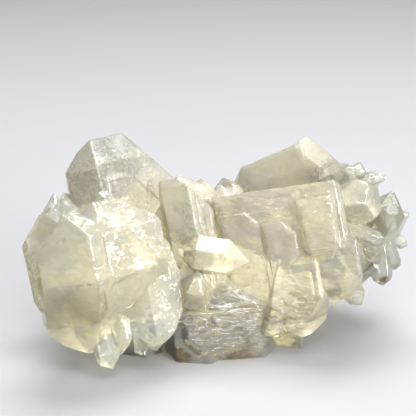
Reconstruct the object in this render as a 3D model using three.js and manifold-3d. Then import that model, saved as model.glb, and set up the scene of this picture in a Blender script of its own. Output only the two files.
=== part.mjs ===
// Quartz crystal cluster: a hand specimen of pale, partly milky rock crystal that grew as one piece.
// Millimetres, +Z up. +X runs along its length, -Y is its display side, and its broken foot is flat.
import * as THREE from "three";
import { ConvexGeometry } from "three/addons/geometries/ConvexGeometry.js";
import { mergeVertices } from "three/addons/utils/BufferGeometryUtils.js";
import Module from "manifold-3d";

const wasm = await Module();
wasm.setup();

// Quartz's own angle: on every crystal a tip face's normal stands this many degrees from the c axis.
const TIP_ANGLE = 51.8;

// Most of the big crystals grew parallel: their c axis leans this many degrees left and back from upright,
// and their first prism face looks this many degrees right of the front.
const LEAN = [11, 11];
const FACING = -18;

// Each crystal has six prism faces and six tip faces at either end. sides is how far its prism faces lie
// from the point at, and top and foot how far along the axis its tip faces would cut it. Six values run
// round from the front: front, front right, right, back, left back, left.
const CRYSTALS = {
  // left end: big stubby crystals that are pointed below as well as above
  leftFront: {
    at: [-38.9, -29.3, 26.4],
    facing: -13,
    sides: [13.6, 16.5, 22.3, 26, 15.5, 11.2],
    top: [43.2, 39.3, 36.4, 11.2, 10.7, 29.6],
    foot: [12.1, 16, 38.8, 23.3, 24.2, 22.3],
  },
  leftFlank: {
    at: [-42.7, -23.5, 26.4],
    facing: -42,
    sides: [15.5, 11.6, 13.6, 20, 12, 5.8],
    top: [36.9, 40.7, 29.1, 11, 14, 23],
    foot: [20.4, 15.5, 16.5, 29.1, 29.1, 11.6],
  },
  leftRim: {
    at: [-38.9, -29.3, 26.4],
    facing: -13,
    sides: [2.4, 9.7, 19.4, 15.5, 14.5, 10.7],
    top: [29.1, 29.1, 29.1, 7.8, 7.8, 23.3],
    foot: [14.1, 17, 38.8, 23.3, 24.2, 23.8],
  },
  leftUpper: {
    at: [-29.2, -27.4, 30.3],
    sides: [12.6, 11.2, 16, 30, 20, 11.6],
    top: [31, 28.6, 34.9, 23.3, 18.4, 38.8],
    foot: [14.5, 10.7, 38.8, 29.1, 29.1, 38.8],
  },
  leftStep: {
    at: [-29.2, -27.4, 30.3],
    sides: [12.8, 11.3, 12.6, 3.9, 3.9, 3.9],
    top: [42.7, 28.6, 21.8, 9.7, 11.6, 19.4],
    foot: [19.4, 12.3, 29.1, 9.7, 5.8, 19.4],
  },
  leftSide: {
    at: [-25.3, -23.5, 26.4],
    sides: [3.4, 8.2, 14.1, 26, 18, 11.6],
    top: [38.8, 29.1, 28.1, 29.1, 29.1, 38.8],
    foot: [29.1, 25.7, 28.6, 19.4, 10.7, 38.8],
  },
  leftBridge: { at: [-32, -11, 24], sides: 12, top: 21, foot: 17 },
  leftRoot: {
    at: [-24, -9, 3],
    sides: [5, 6, 7, 8, 10, 12],
    top: [6, 7, 8, 10, 12, 10],
    foot: 20,
  },
  // back left: the tall point, with a ledge on its front, and the crystals that join it to the middle
  backLeft: {
    at: [-30, 10, 35],
    sides: [13, 8.5, 21, 14, 14, 13.5],
    top: [35.5, 30, 35.5, 40, 25, 36],
    foot: 50,
  },
  backStep: {
    at: [-30, 10, 35],
    sides: [12, 10, 17, 6, 6, 6],
    top: [40, 27, 26, 10, 8, 30],
    foot: 40,
  },
  middle: {
    at: [-14, 4, 28],
    sides: [11.5, 18.5, 14, 14, 12, 0.5],
    top: [35.5, 48, 29, 10, 24, 30],
    foot: 50,
  },
  middleBack: {
    at: [-16, 10, 32],
    sides: [9, 20.5, 16, 10, 10, 16],
    top: [32, 36, 44, 8, -1, 40],
    foot: 50,
  },
  // right of the middle: the broad cream plate with its growth steps, and the grey point behind it
  backRidge: {
    at: [14, 22, 34],
    lean: [27, 5],
    sides: [7.5, 26, 20, 12, 12, 3.5],
    top: [26, 60, 60, 9, 26, 16],
    foot: [40, 36, 36, 40, 50, 50],
  },
  backRight: {
    at: [24, 22, 36],
    lean: [13, 5],
    sides: [11.5, 21, 18, 14, 18, 16],
    top: [33, 40.5, 34, 16, 5.5, 40],
    foot: [50, 36, 34, 40, 50, 50],
  },
  centre: {
    at: [20, 4, 26],
    sides: [16.5, 31.5, 17, 12, 20, 18],
    top: [43.5, 70, 60, 2.5, 40, 60],
    foot: [25.5, 40, 26, 40, 50, 50],
  },
  centreStep: {
    at: [10, 0, 20],
    sides: [11.5, 15.5, 12, 8, 10, 6],
    top: [36.5, 37.5, 50, 8, 40, 60],
    foot: [24, 40, 40, 40, 40, 40],
  },
  columnTop: {
    at: [16, 0, 20],
    sides: [14.5, 21.5, 12, 6, 10, 0.5],
    top: [36, 42, 50, 2, 40, 60],
    foot: [18, 18.5, 40, 10, 10, 40],
  },
  column: {
    at: [16, -6, 18],
    lean: [-8, 8],
    facing: -8,
    sides: [11, 11, 8, 6, 6, 3],
    top: [26.5, 40, 40, 2, 20, 44],
    foot: [23, 40, 40, 0, 10, 40],
  },
  block: {
    at: [28, 0, 26],
    sides: [17.5, 24, 6, 6, 10, 3],
    top: [42.5, 60, 60, 0, 40, 60],
    foot: [18.5, 23.5, 40, 20, 20, -2.5],
  },
  // underneath: clear plates at the front, and the mass they stand against
  lowRight: {
    at: [24, -2, 16],
    sides: [15.5, 20, 7, 10, 12, 8.5],
    top: [31, 60, 60, 4, 30, 60],
    foot: [27.5, 25, 40, 0, -2, 50],
  },
  lowFront: {
    at: [0, -10, 8],
    lean: [2, 8],
    facing: 8,
    sides: [9.5, 14.5, 14, 12, 12, 12.5],
    top: [13, 30, 30, 0, 20, 30],
    foot: [17, 18, 30, 6, 30, 17.5],
  },
  lowBehind: {
    at: [6, -8, 10],
    lean: [2, 8],
    facing: 8,
    sides: [8, 12, 12, 12, 12, 12],
    top: [17, 30, 30, 20, 20, 30],
    foot: [20.5, 21, 40, 40, 40, 40],
  },
  lowLeft: {
    at: [-8, -12, 9],
    lean: [6, 10],
    facing: -6,
    sides: [6, 9, 8, 8, 8, 6],
    top: [22, 24, 20, 20, 20, 20],
    foot: 24,
  },
  lowest: {
    at: [4, -6, 6],
    lean: [2, 8],
    facing: 4,
    sides: [9.5, 14, 12, 8, 8, 14],
    top: [10, 20, 20, 12, 12, 20],
    foot: 26,
  },
  core: {
    at: [6, 12, 14],
    sides: [18, 18, 18, 14, 18, 18],
    top: [26, 28, 26, 22, 22, 26],
    foot: [30, 26, 22, 30, 30, 30],
  },
  // back: stubby crystals that lean away from the display side
  backA: {
    at: [-34, 20, 20],
    lean: [16, 26],
    sides: [9, 8, 9, 10, 9, 8],
    top: [24, 22, 20, 18, 20, 23],
    foot: 40,
  },
  backB: {
    at: [-10, 22, 18],
    lean: [4, 30],
    sides: [9, 10, 9, 11, 10, 9],
    top: [24, 22, 20, 20, 19, 23],
    foot: 40,
  },
  backC: {
    at: [14, 26, 16],
    lean: [-8, 28],
    sides: [8, 9, 10, 9, 8, 9],
    top: [22, 22, 20, 17, 19, 21],
    foot: 40,
  },
  backD: {
    at: [34, 24, 26],
    lean: [-24, 24],
    sides: [8, 9, 8, 8, 7, 8],
    top: [18, 19, 17, 15, 16, 18],
    foot: 22,
  },
  // right end: the mass under the druse, its front, and its two biggest points
  rightMass: {
    at: [44, 10, 34],
    sides: [9, 10, 10, 14, 14, 14],
    top: 18,
    foot: [16, 14, 16, 20, 20, 20],
  },
  rightLow: {
    at: [38, -4, 22],
    sides: [16.5, 18.5, 3, 8, 8, 8],
    top: [32.5, 60, 60, 4, 10, 60],
    foot: [21, 19.5, 30, -12, -6, 30],
  },
  barrel: {
    at: [43.5, -8, 47.5],
    axis: [0.1, -0.95, 0.25],
    facing: 0,
    sides: 6,
    top: [9, 12, 9, 12, 9, 12],
    foot: 14,
  },
  clear: { at: [53, 2, 39], axis: [0.25, -0.2, 0.95], sides: 4.5, top: [10, 11, 9, 10, 10, 11], foot: 11 },
  rightFill: { at: [45, 3, 28], sides: 6, top: 11, foot: [9, 10, 9, 12, 12, 12] },
  // hollows between the big crystals
  hollowUpper: { at: [-0.5, -14, 32.5], axis: [0.95, -0.15, -0.1], facing: 0, sides: 5, top: 11, foot: 11 },
  hollowLower: { at: [-6, -18, 23], axis: [0.2, -0.3, 0.9], facing: 0, sides: 4, top: 7, foot: 9 },
  saddleA: { at: [-2.5, 4, 43], sides: 3.5, top: [7, 10, 8, 12, 9, 10], foot: 20 },
  saddleB: { at: [2.5, 7, 41], sides: 3.5, top: [7, 9, 8, 10, 9, 7], foot: 20 },
  saddleC: { at: [5, 12, 41], sides: [4, 5, 4, 4, 4, 5], top: [8, 10, 9, 8, 9, 9], foot: 20 },
  shoulderA: { at: [-49, 1, 39], sides: 3, top: [8, 9, 9, 8, 7, 7], foot: 20 },
  shoulderB: { at: [-45, 3, 39], sides: [3, 4, 4, 3, 4, 3], top: [9, 8, 9, 8, 8, 8], foot: 20 },
};

// Growth steps on one face of a crystal: each is prouder than the last, starts lower and is narrower.
const STEPS = [
  { on: "block", face: 0, count: 3, rise: 0.4, drop: 1.1, inset: 0.2 },
  { on: "centre", face: 0, count: 2, rise: 0.3, drop: 2.4, inset: 0.9 },
  { on: "lowFront", face: 0, count: 4, rise: 0.6, drop: 1.7, inset: 0.5 },
  { on: "lowBehind", face: 0, count: 3, rise: 0.5, drop: 1.2, inset: 0.4 },
  { on: "lowRight", face: 0, count: 1, rise: 0.5, drop: 2.5, inset: 1.4 },
  { on: "leftSide", face: 2, count: 3, rise: 0.6, drop: 2.2, inset: 0.9 },
  { on: "middle", face: 1, count: 2, rise: 0.4, drop: 3, inset: 1.5 },
];

// Teeth along the broken lower edge of the left crystals: where each one stands, and their common form.
const TEETH = [
  [-27.2, -29.3, 15.7],
  [-21.4, -26.9, 14.3],
  [-17, -24, 14.3],
];
const TOOTH = { sides: [2, 2.5, 2.5, 4, 4, 3], top: 5, foot: [6.5, 7, 6.5, 12, 12, 12] };

// Small points, each with the way it points, half its thickness, and how far its tip and its root reach.
const POINTS = [
  { at: [38, 6, 52], axis: [0.8, -0.4, 0.5], thick: 2.8, tip: 6, root: 8 },
  { at: [44, 4, 53], axis: [0.3, -0.3, 1], thick: 2, tip: 4, root: 9 },
  { at: [42, 2, 53], axis: [-0.3, -0.5, 1], thick: 1.6, tip: 4, root: 9 },
  { at: [46.5, 2, 51], axis: [0.6, -0.5, 0.8], thick: 1.6, tip: 4, root: 8 },
  { at: [49.5, 6, 50], axis: [0.8, 0, 0.4], thick: 1, tip: 4, root: 8 },
  { at: [58.5, 4, 37.5], axis: [0.4, 0, 1], thick: 0.9, tip: 4, root: 6 },
  { at: [57.5, 5, 31], axis: [0.8, -0.3, -0.4], thick: 1.8, tip: 3.5, root: 9 },
  { at: [47.5, -6, 36], axis: [0.9, -0.1, -0.4], thick: 2, tip: 5, root: 9 },
  { at: [48.5, -2, 30], axis: [0.5, -0.4, -0.7], thick: 2.4, tip: 5, root: 9 },
  { at: [55, 2, 27], axis: [0.35, -0.1, -0.9], thick: 2.2, tip: 5, root: 10 },
  { at: [52, 0, 24], axis: [0.1, -0.2, -0.95], thick: 2.8, tip: 6, root: 12 },
  { at: [48, -3, 23.5], axis: [0.6, -0.1, 0.7], thick: 1.2, tip: 4, root: 8 },
  { at: [42.5, -12, 20], axis: [0.5, -0.5, -0.7], thick: 2.8, tip: 4.5, root: 9 },
  { at: [35.5, -16, 21], axis: [0.1, -0.6, -0.7], thick: 2.6, tip: 4, root: 9 },
  { at: [-31.6, -30.3, 8.9], axis: [0.3, -0.5, -0.8], thick: 3.1, tip: 5.8, root: 12 },
];

// The druse that wraps round the back of the right end: its points stand a golden turn apart.
const DRUSE = { count: 40, at: [45, 12, 34], radius: 11.5, thick: [1.6, 2.6], tip: [4, 7], root: 10 };
const GOLDEN_TURN = Math.PI * (3 - Math.sqrt(5));

const COLOUR = 0xe6e2cf;
const ROUGHNESS = 0.15;

const radians = THREE.MathUtils.degToRad;

// A value for each of the six faces round a crystal, from one number or six.
function six(value) {
  return Array.isArray(value) ? value : Array(6).fill(value);
}

// The c axis of a crystal that leans left and back, in degrees.
function axisOf([left, back]) {
  return new THREE.Vector3(-Math.tan(radians(left)), Math.tan(radians(back)), 1).normalize();
}

// The corner where three planes meet, or null where they don't.
function corner(a, b, c) {
  const normals = new THREE.Matrix3().set(...a.normal, ...b.normal, ...c.normal);
  if (Math.abs(normals.determinant()) < 1e-6) return null;
  return new THREE.Vector3(-a.constant, -b.constant, -c.constant).applyMatrix3(normals.invert());
}

// The closed solid inside a set of planes that face outwards.
function inside(planes) {
  const corners = [];
  planes.forEach((a, i) =>
    planes.slice(i + 1).forEach((b, j) =>
      planes.slice(i + j + 2).forEach((c) => {
        const p = corner(a, b, c);
        if (p && planes.every((plane) => plane.distanceToPoint(p) < 1e-6)) corners.push(p);
      }),
    ),
  );
  return new ConvexGeometry(corners);
}

// One crystal, from its prism and tip faces.
function crystal({ at, axis, lean = LEAN, facing = FACING, sides, top, foot }) {
  const c = axis ? new THREE.Vector3(...axis).normalize() : axisOf(lean);
  const turn = radians(facing);
  const first = new THREE.Vector3(Math.sin(turn), -Math.cos(turn), 0).projectOnPlane(c).normalize();
  const centre = new THREE.Vector3(...at);
  const face = (normal, distance) => new THREE.Plane(normal, -normal.dot(centre) - distance);
  const tip = Math.cos(radians(TIP_ANGLE));
  const planes = [];
  for (let i = 0; i < 6; i++) {
    const out = first.clone().applyAxisAngle(c, (i * Math.PI) / 3);
    planes.push(face(out, six(sides)[i]));
    for (const [end, reach] of [[tip, six(top)[i]], [-tip, six(foot)[i]]]) {
      const normal = out.clone().multiplyScalar(Math.sin(radians(TIP_ANGLE))).addScaledVector(c, end);
      planes.push(face(normal, reach * tip));
    }
  }
  return inside(planes);
}

// A small point: three of its tip faces are bigger than the three between them.
function point({ at, axis, thick, tip, root }) {
  const top = six(tip).map((reach, i) => (i % 2 ? reach + 0.6 * thick : reach));
  return crystal({ at, axis, facing: 0, sides: thick, top, foot: root });
}

// The growth steps on one face of a crystal, as plates inside each other's outlines.
function steps({ on, face, count, rise, drop, inset }) {
  const { sides, top, foot, ...rest } = CRYSTALS[on];
  return Array.from({ length: count }, (_, i) => {
    const by = i + 1;
    return crystal({
      ...rest,
      sides: six(sides).map((side, j) => (j === face ? side + by * rise : side - by * inset)),
      top: six(top).map((reach, j) => (j === face ? reach - by * drop : reach)),
      foot: six(foot).map((reach) => reach - 2 * by * inset),
    });
  });
}

// The druse: points that look out from the middle of the right end, on its back half.
function druse() {
  const points = [];
  const between = ([low, high], share) => low + (high - low) * share;
  for (let i = 0; i < DRUSE.count; i++) {
    const turn = i * GOLDEN_TURN;
    const height = 1 - (2 * i + 1) / DRUSE.count;
    const level = Math.sqrt(1 - height * height);
    const out = new THREE.Vector3(level * Math.cos(turn), level * Math.sin(turn), height);
    if (out.x < -0.2 || out.y < 0.3) continue;
    const share = (i * 0.618) % 1;
    points.push(
      point({
        at: out.clone().multiplyScalar(DRUSE.radius).add(new THREE.Vector3(...DRUSE.at)).toArray(),
        axis: out.toArray(),
        thick: between(DRUSE.thick, share),
        tip: between(DRUSE.tip, (share * 7) % 1),
        root: DRUSE.root,
      }),
    );
  }
  return points;
}

function solidOf(geometry) {
  geometry.deleteAttribute("normal");
  geometry.deleteAttribute("uv");
  const closed = mergeVertices(geometry, 1e-4);
  return new wasm.Manifold(
    new wasm.Mesh({
      numProp: 3,
      vertProperties: closed.attributes.position.array,
      triVerts: new Uint32Array(closed.index.array),
    }),
  );
}

// All the crystals, grown into one solid and broken off flat where the specimen rests.
const grown = [
  ...Object.values(CRYSTALS).map(crystal),
  ...POINTS.map(point),
  ...STEPS.flatMap(steps),
  ...TEETH.map((at) => crystal({ at, ...TOOTH })),
  ...druse(),
];
const under = new THREE.BoxGeometry(400, 400, 200).translate(0, 0, -100);
const whole = grown
  .map(solidOf)
  .reduce((joined, one) => joined.add(one))
  .subtract(solidOf(under));

// The solid as a mesh, with the origin under the middle of its box.
const { vertProperties, triVerts } = whole.getMesh();
const geometry = new THREE.BufferGeometry();
geometry.setAttribute("position", new THREE.BufferAttribute(vertProperties, 3));
geometry.setIndex(new THREE.BufferAttribute(triVerts, 1));
geometry.computeBoundingBox();
const middle = geometry.boundingBox.getCenter(new THREE.Vector3());
geometry.translate(-middle.x, -middle.y, -geometry.boundingBox.min.z);
geometry.computeVertexNormals();

const quartz = new THREE.MeshStandardMaterial({
  color: COLOUR,
  roughness: ROUGHNESS,
  metalness: 0,
  flatShading: true,
});
const mesh = new THREE.Mesh(geometry, quartz);
mesh.name = "quartz_cluster";
const cluster = new THREE.Group();
cluster.name = "quartz_crystal_cluster";
cluster.add(mesh);

export default cluster;
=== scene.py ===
from math import radians, sin

import bmesh
import bpy
import numpy as np
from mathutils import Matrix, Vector, noise


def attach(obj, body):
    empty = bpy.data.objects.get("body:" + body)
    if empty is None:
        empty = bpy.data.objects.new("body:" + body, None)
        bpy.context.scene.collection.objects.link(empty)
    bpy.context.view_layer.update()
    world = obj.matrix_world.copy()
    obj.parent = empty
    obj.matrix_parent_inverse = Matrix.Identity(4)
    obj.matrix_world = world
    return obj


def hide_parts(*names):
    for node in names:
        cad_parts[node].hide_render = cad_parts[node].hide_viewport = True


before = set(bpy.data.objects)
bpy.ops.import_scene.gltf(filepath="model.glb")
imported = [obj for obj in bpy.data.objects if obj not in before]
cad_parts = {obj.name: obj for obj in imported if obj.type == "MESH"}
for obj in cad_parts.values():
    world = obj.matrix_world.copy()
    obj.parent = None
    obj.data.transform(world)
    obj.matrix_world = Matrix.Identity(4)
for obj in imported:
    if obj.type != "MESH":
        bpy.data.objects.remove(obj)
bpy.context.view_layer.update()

# The quartz cluster
# A hand specimen of rock crystal that grew as one piece: stubby six-sided crystals that run into each other.
# Silica that crystallised from hot water, so its faces are flat in the large and stepped in the small,
# clear in the plates below and at the right end, and milky with trapped water where it grew fastest.
MM = 0.001
WELD = 0.001 * MM  # corners closer than this are one
GRAIN = 1.8 * MM  # edges of the finished mesh are split until they are about this long
SPLITS = 6  # rounds of splitting, enough for the longest edge
FLAT_ANGLE = 0.6  # degrees within which two faces are one crystal face
EDGE_ANGLE = 20  # degrees from which an edge is a crystal edge
CREASE_ANGLE = 12  # degrees from which an edge of the finished mesh is shaded sharp
CHAMFER = 0.3 * MM  # width of the worn edge on either side
WORN = 0.6  # share of its height that a worn edge has lost
FOOT = 0.3 * MM  # height of the broken foot, which stays flat

# growth relief: hillocks on every face, terraces across them, and chips along the edges
HILLOCK = {"size": 11 * MM, "height": 0.2 * MM}
TERRACE = {"size": 6 * MM, "height": 0.5 * MM, "steps": 5, "sharp": 0.75, "shift": Vector((7, 3, 5))}
CHIP = {"size": 3.5 * MM, "depth": 0.9 * MM, "share": 0.12, "shift": Vector((1, 9, 4))}


def terrace(value, steps, sharp):
    """value from 0 to 1 as flat steps with short risers between them."""
    whole = int(value * steps)
    part = value * steps - whole
    riser = max(0.0, (part - sharp) / (1 - sharp))
    return (whole + riser) / steps


def relief(place):
    """How far the crystal face stands out at a place, in metres."""
    high = HILLOCK["height"] * noise.noise(place / HILLOCK["size"])
    level = 0.5 + 0.5 * noise.noise(place / TERRACE["size"] + TERRACE["shift"])
    high += TERRACE["height"] * terrace(level, TERRACE["steps"], TERRACE["sharp"])
    return high


def triangles_only(bm):
    """Cut every larger face into triangles, across its short diagonal."""
    larger = [face for face in bm.faces if len(face.verts) > 3]
    bmesh.ops.triangulate(bm, faces=larger, quad_method="SHORT_EDGE")


def grown_surface(node):
    """A fine copy of the CAD solid's surface, with its growth relief and its worn edges."""
    bm = bmesh.new()
    bm.from_mesh(node.data)
    bmesh.ops.remove_doubles(bm, verts=bm.verts, dist=WELD)
    bmesh.ops.dissolve_limit(bm, angle_limit=radians(FLAT_ANGLE), verts=bm.verts, edges=bm.edges)
    bmesh.ops.triangulate(bm, faces=bm.faces)
    for _ in range(SPLITS):
        long = [edge for edge in bm.edges if edge.calc_length() > GRAIN]
        bmesh.ops.subdivide_edges(bm, edges=long, cuts=1)
        triangles_only(bm)
    bm.normal_update()
    # corners on a crystal edge, each with the sharpest angle that meets there
    ridges = {}
    for edge in bm.edges:
        angle = edge.calc_face_angle(0)
        if edge.is_convex and angle > radians(EDGE_ANGLE) and max(vert.co.z for vert in edge.verts) > FOOT:
            for vert in edge.verts:
                ridges[vert] = max(angle, ridges.get(vert, 0))
    # a row of corners close beside each crystal edge, so that its wear stays narrow
    beside = [edge for edge in bm.edges if (edge.verts[0] in ridges) != (edge.verts[1] in ridges)]
    for edge in beside:
        ridge = edge.verts[0] if edge.verts[0] in ridges else edge.verts[1]
        bmesh.utils.edge_split(edge, ridge, min(0.5, CHAMFER / edge.calc_length()))
    triangles_only(bm)
    bm.normal_update()
    moves = {}
    for vert in bm.verts:
        if vert.co.z < FOOT:
            continue
        out = relief(vert.co)
        if vert in ridges:
            chip = noise.noise(vert.co / CHIP["size"] + CHIP["shift"]) - 1 + 2 * CHIP["share"]
            out -= CHIP["depth"] * max(0.0, chip) + WORN * CHAMFER * sin(ridges[vert] / 2)
        moves[vert] = vert.normal * out
    for vert, move in moves.items():
        vert.co += move
    for face in bm.faces:
        face.smooth = True
    mesh = bpy.data.meshes.new("quartz")
    bm.to_mesh(mesh)
    bm.free()
    mesh.set_sharp_from_angle(angle=radians(CREASE_ANGLE))
    return mesh


quartz = bpy.data.objects.new("quartz", grown_surface(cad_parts["quartz_cluster"]))
bpy.context.scene.collection.objects.link(quartz)

# where the quartz is water clear, satin, full of flashing steps, creamy or stained by iron, and, in the
# clear, satin and flashing zones, where its colour is darkened partly as painted shade:
# each zone's middle and radius in millimetres, and how strong it is there
ZONES = {
    "clear": [
        ((-45, -33, 21), 16, 1.0),
        ((50, 0, 42), 12, 0.8),
        ((49, 0, 24), 12, 0.8),
        ((-10, -19, 24), 8, 0.8),
    ],
    "satin": [
        ((17, 14, 54), 20, 1.0),
        ((-35, 9, 58), 24, 1.0),
        ((-15, 3, 44), 14, 0.8),
        ((41, -5, 47), 9, 0.8),
        ((-54, -27, 40), 16, 0.8),
        ((-2, -18, 36), 10, 0.6),
    ],
    "flash": [
        ((1, -16, 10), 18, 1.0),
        ((12, -14, 9), 14, 1.0),
        ((23, -17, 16), 10, 0.8),
        ((35, -13, 24), 9, 0.7),
    ],
    "cream": [
        ((13, -9, 40), 34, 1.0),
        ((17, 14, 54), 18, 0.6),
        ((28, -15, 41), 12, 1.0),
        ((-29, -32, 36), 16, 0.5),
        ((-29, -26, 51), 10, 0.4),
        ((-15, 2, 42), 20, 1.0),
        ((28, 15, 58), 9, 1.0),
        ((1, -13, 4), 22, 0.5),
    ],
    "stain": [
        ((-14, -16, 1), 6, 1.0),
        ((5, -14, 0), 7, 0.8),
        ((39, 4, 38), 4, 1.0),
        ((49, 0, 20), 3, 0.9),
        ((-1, 15, 47), 5, 0.5),
        ((-30, -11, 0), 4, 0.8),
        ((-42, -28, 11), 1.5, 0.6),
        ((25, -16, 26), 1.2, 0.7),
        ((45, -2, 27), 1.5, 0.8),
        ((41, 5, 52), 2, 0.8),
    ],
}
spots = np.array([vert.co for vert in quartz.data.vertices]) / MM
for name, zones in ZONES.items():
    strength = np.zeros(len(spots))
    for middle, radius, most in zones:
        # full in the inner half of the radius, then fading out
        fade = 1 - np.linalg.norm(spots - middle, axis=1) / radius
        strength = np.maximum(strength, most * np.clip(2 * fade, 0, 1))
    quartz.data.attributes.new(name, "FLOAT", "POINT").data.foreach_set("value", strength)


def linear(hex_colour, alpha=1.0):
    """An sRGB hex colour as the linear values that shaders take."""
    parts = [int(hex_colour[i : i + 2], 16) / 255 for i in (1, 3, 5)]
    return [p / 12.92 if p <= 0.04045 else ((p + 0.055) / 1.055) ** 2.4 for p in parts] + [alpha]


def add(tree, kind, inputs=(), **settings):
    """A new node with its settings, its values and its links."""
    made = tree.nodes.new(kind)
    for name, value in settings.items():
        setattr(made, name, value)
    for socket, value in dict(inputs).items():
        if isinstance(value, bpy.types.NodeSocket):
            tree.links.new(value, made.inputs[socket])
        else:
            made.inputs[socket].default_value = value
    return made


def maths(tree, operation, *terms):
    """The result of one sum on numbers or sockets."""
    return add(tree, "ShaderNodeMath", dict(enumerate(terms)), operation=operation).outputs["Value"]


def ranged(tree, value, lowest, highest, low=0.0, high=1.0):
    """value, taken from low to high, as lowest to highest."""
    ends = {"From Min": low, "From Max": high, "To Min": lowest, "To Max": highest}
    return add(tree, "ShaderNodeMapRange", {"Value": value, **ends}).outputs["Result"]


# Rock crystal, natural faces: glassy, with clear and milky zones, and a faint yellow in the thick parts.
TRANSMISSION = 0.82  # the rest is the milkiness of trapped water
QUARTZ_IOR = 1.544
DEEP_COLOUR = "#faf2bb"  # what the quartz absorbs towards, and how strongly per metre
DEEP_DENSITY = 22.0
TINT = "#dfe0d7"
RUST = "#8a6a2e"  # iron oxide in the cracks
# the clear, satin and flashing zone colours are darker: partly the quartz's own grey, partly painted shade
ZONE_TINTS_AND_SHADE = {"clear": "#a9a9a1", "satin": "#cbc9c0", "flash": "#b4b1a2", "cream": "#fffae6"}
ZONE_ROUGHNESS = {"satin": 0.22, "cream": 0.1, "flash": -0.1}
POLISH = 0.02  # roughness of a perfect crystal face
MILKY_ROUGHNESS = 0.14
CLOUD = 16 * MM  # size of the milky clouds
VEIL = 3 * MM  # size of the veils and flecks
SKIN_GRAIN = 1.6 * MM
GROWTH_LINE = 0.9 * MM
SKIN_DEPTH = 0.2 * MM
AXIS_LEAN = (radians(-11), radians(-11), 0)  # how most of the crystals lean
# sub-crystals: their size, how flat they are, and how far they tilt
MOSAIC = ((6 * MM, 0.6, 0.06), (2.2 * MM, 0.35, 0.18))

material = bpy.data.materials.new("rock_crystal")
material.use_nodes = True
tree = material.node_tree
tree.nodes.clear()
place = add(tree, "ShaderNodeTexCoord").outputs["Object"]
zone = {name: add(tree, "ShaderNodeAttribute", attribute_name=name).outputs["Fac"] for name in ZONES}
cloud = add(
    tree,
    "ShaderNodeTexNoise",
    {"Vector": place, "Scale": 1 / CLOUD, "Detail": 5, "Roughness": 0.55, "Distortion": 0.5},
).outputs["Fac"]
veil = add(
    tree,
    "ShaderNodeTexNoise",
    {"Vector": place, "Scale": 1 / VEIL, "Detail": 6, "Roughness": 0.7, "Distortion": 1.2},
).outputs["Fac"]

# milky places are less glossy
milk = maths(tree, "MULTIPLY_ADD", zone["clear"], -0.6, maths(tree, "ADD", cloud, veil))
rough = ranged(tree, milk, POLISH, MILKY_ROUGHNESS, 0.85, 1.1)
for name, more in ZONE_ROUGHNESS.items():
    rough = maths(tree, "MULTIPLY_ADD", zone[name], more, rough)
rough = maths(tree, "MAXIMUM", rough, POLISH)

# each zone's tint, the clear, satin and flashing ones darker partly as painted shade, flecked by the veils,
# with rust where iron water ran
tint_and_shade = add(tree, "ShaderNodeRGB").outputs["Color"]
tint_and_shade.default_value = linear(TINT)
for name, shade in ZONE_TINTS_AND_SHADE.items():
    tint_and_shade = add(
        tree,
        "ShaderNodeMix",
        {"Factor": zone[name], "A": tint_and_shade, "B": linear(shade)},
        data_type="RGBA",
    ).outputs[2]
fleck = ranged(tree, veil, 0.9, 1.0, 0.38, 0.58)
tint_and_shade = add(tree, "ShaderNodeVectorMath", {0: tint_and_shade, "Scale": fleck}, operation="SCALE").outputs["Vector"]
rust = ranged(tree, maths(tree, "MULTIPLY", zone["stain"], veil), 0.0, 0.85, 0.2, 0.5)
colour = add(
    tree,
    "ShaderNodeMix",
    {"Factor": rust, "A": tint_and_shade, "B": linear(RUST)},
    data_type="RGBA",
).outputs[2]

# a mosaic of sub-crystals, each tilted a little its own way, so that single ones flash in the light
facing = add(tree, "ShaderNodeNewGeometry").outputs["Normal"]
smooth = maths(tree, "MAXIMUM", zone["clear"], zone["satin"])
uneven = maths(tree, "MULTIPLY_ADD", zone["flash"], 1.6, ranged(tree, smooth, 0.65, 0.15))
for size, squash, tilt in MOSAIC:
    flat = add(
        tree,
        "ShaderNodeMapping",
        {"Vector": place, "Rotation": AXIS_LEAN, "Scale": (1, 1, 1 / squash)},
    ).outputs["Vector"]
    cell = add(tree, "ShaderNodeTexVoronoi", {"Vector": flat, "Scale": 1 / size}).outputs["Color"]
    lean = add(tree, "ShaderNodeVectorMath", {0: cell, 1: (0.5, 0.5, 0.5)}, operation="SUBTRACT")
    reach = maths(tree, "MULTIPLY", uneven, 2 * tilt)
    lean = add(tree, "ShaderNodeVectorMath", {0: lean.outputs["Vector"], "Scale": reach}, operation="SCALE")
    facing = add(tree, "ShaderNodeVectorMath", {0: facing, 1: lean.outputs["Vector"]}, operation="ADD")
    facing = facing.outputs["Vector"]
facing = add(tree, "ShaderNodeVectorMath", {0: facing}, operation="NORMALIZE").outputs["Vector"]

# a fine grain, and growth lines that run across the prism faces
grain = add(
    tree,
    "ShaderNodeTexNoise",
    {"Vector": place, "Scale": 1 / SKIN_GRAIN, "Detail": 4, "Roughness": 0.6},
).outputs["Fac"]
across = add(
    tree,
    "ShaderNodeMapping",
    {"Vector": place, "Rotation": AXIS_LEAN, "Scale": (0.08, 0.08, 1)},
).outputs["Vector"]
lines = add(
    tree,
    "ShaderNodeTexNoise",
    {"Vector": across, "Scale": 1 / GROWTH_LINE, "Detail": 3, "Roughness": 0.6},
).outputs["Fac"]
lined = maths(tree, "MULTIPLY", ranged(tree, zone["flash"], 0.3, 1.8), lines)
skin = add(
    tree,
    "ShaderNodeBump",
    {"Height": maths(tree, "ADD", grain, lined), "Distance": SKIN_DEPTH, "Strength": 1.0, "Normal": facing},
).outputs["Normal"]
body = add(
    tree,
    "ShaderNodeBsdfPrincipled",
    {
        "Base Color": colour,
        "Transmission Weight": TRANSMISSION,
        "IOR": QUARTZ_IOR,
        "Roughness": rough,
        "Normal": skin,
    },
).outputs["BSDF"]
depth = add(
    tree,
    "ShaderNodeVolumeAbsorption",
    {"Color": linear(DEEP_COLOUR), "Density": DEEP_DENSITY},
).outputs["Volume"]
add(tree, "ShaderNodeOutputMaterial", {"Surface": body, "Volume": depth})
quartz.data.materials.append(material)
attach(quartz, "root")
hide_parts("quartz_cluster")

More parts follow.
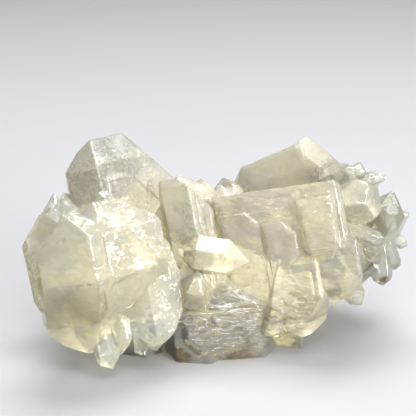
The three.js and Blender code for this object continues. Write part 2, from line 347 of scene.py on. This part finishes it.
# The table and the studio
# A plain pale table top of matt paper, in a white room that is brightest towards its window side,
# with soft boxes over it. The camera looks from a little above, from the display side.
TABLE_HALF = 3  # metres from its middle to its sides
bm = bmesh.new()
bmesh.ops.create_grid(bm, x_segments=1, y_segments=1, size=TABLE_HALF)
table = bpy.data.objects.new("table", bpy.data.meshes.new("table"))
bm.to_mesh(table.data)
bm.free()
bpy.context.scene.collection.objects.link(table)
# pale grey paper, matt
paper = bpy.data.materials.new("pale_grey_paper")
paper.use_nodes = True
paper.node_tree.nodes["Principled BSDF"].inputs["Base Color"].default_value = linear("#89898c")
paper.node_tree.nodes["Principled BSDF"].inputs["Roughness"].default_value = 0.8
table.data.materials.append(paper)

WINDOW_SIDE = (-0.1, -0.8, 0.6)
world = bpy.data.worlds.new("white_room")
world.use_nodes = True
room = world.node_tree
sky = room.nodes["Background"]
sky.inputs["Color"].default_value = linear("#ffffff")
way = add(room, "ShaderNodeTexCoord").outputs["Generated"]
near = add(room, "ShaderNodeVectorMath", {0: way, 1: WINDOW_SIDE}, operation="DOT_PRODUCT").outputs["Value"]
room.links.new(ranged(room, near, 0.2, 1.2, -0.2, 1.0), sky.inputs["Strength"])
bpy.context.scene.world = world


def look_at(thing, aim):
    """Turn a lamp or a camera towards a point."""
    thing.rotation_euler = (Vector(aim) - Vector(thing.location)).to_track_quat("-Z", "Y").to_euler()


# square white soft boxes: where each one hangs and its side in metres, and its power in watts
SOFT_BOXES = {
    "spark": ((-0.2, -0.8, 0.5), 0.1, 1.5),
    "low": ((1.0, -0.85, 0.36), 0.5, 30.0),
    "top": ((0.05, 0.25, 0.88), 0.5, 14.0),
    "over": ((0.15, -0.45, 0.75), 0.5, 7.0),
}
LIT_POINT = (0, 0, 0.03)
for name, (hung, side, watts) in SOFT_BOXES.items():
    light = bpy.data.lights.new(name, "AREA")
    light.shape = "SQUARE"
    light.size = side
    light.energy = watts
    lamp = bpy.data.objects.new(name, light)
    lamp.location = hung
    look_at(lamp, LIT_POINT)
    bpy.context.scene.collection.objects.link(lamp)

camera = bpy.data.objects.new("camera", bpy.data.cameras.new("camera"))
camera.data.sensor_width = 36
camera.data.lens = 116.6
camera.location = Vector((-4.9, -391.6, 168.7)) * MM
look_at(camera, Vector((-4.9, 3.1, 43.1)) * MM)
bpy.context.scene.collection.objects.link(camera)
bpy.context.scene.camera = camera
bpy.context.scene.view_settings.view_transform = "Standard"
# light passes many faces inside the quartz before it comes out
bpy.context.scene.cycles.max_bounces = 24
bpy.context.scene.cycles.transmission_bounces = 24
bpy.context.scene.cycles.diffuse_bounces = 6
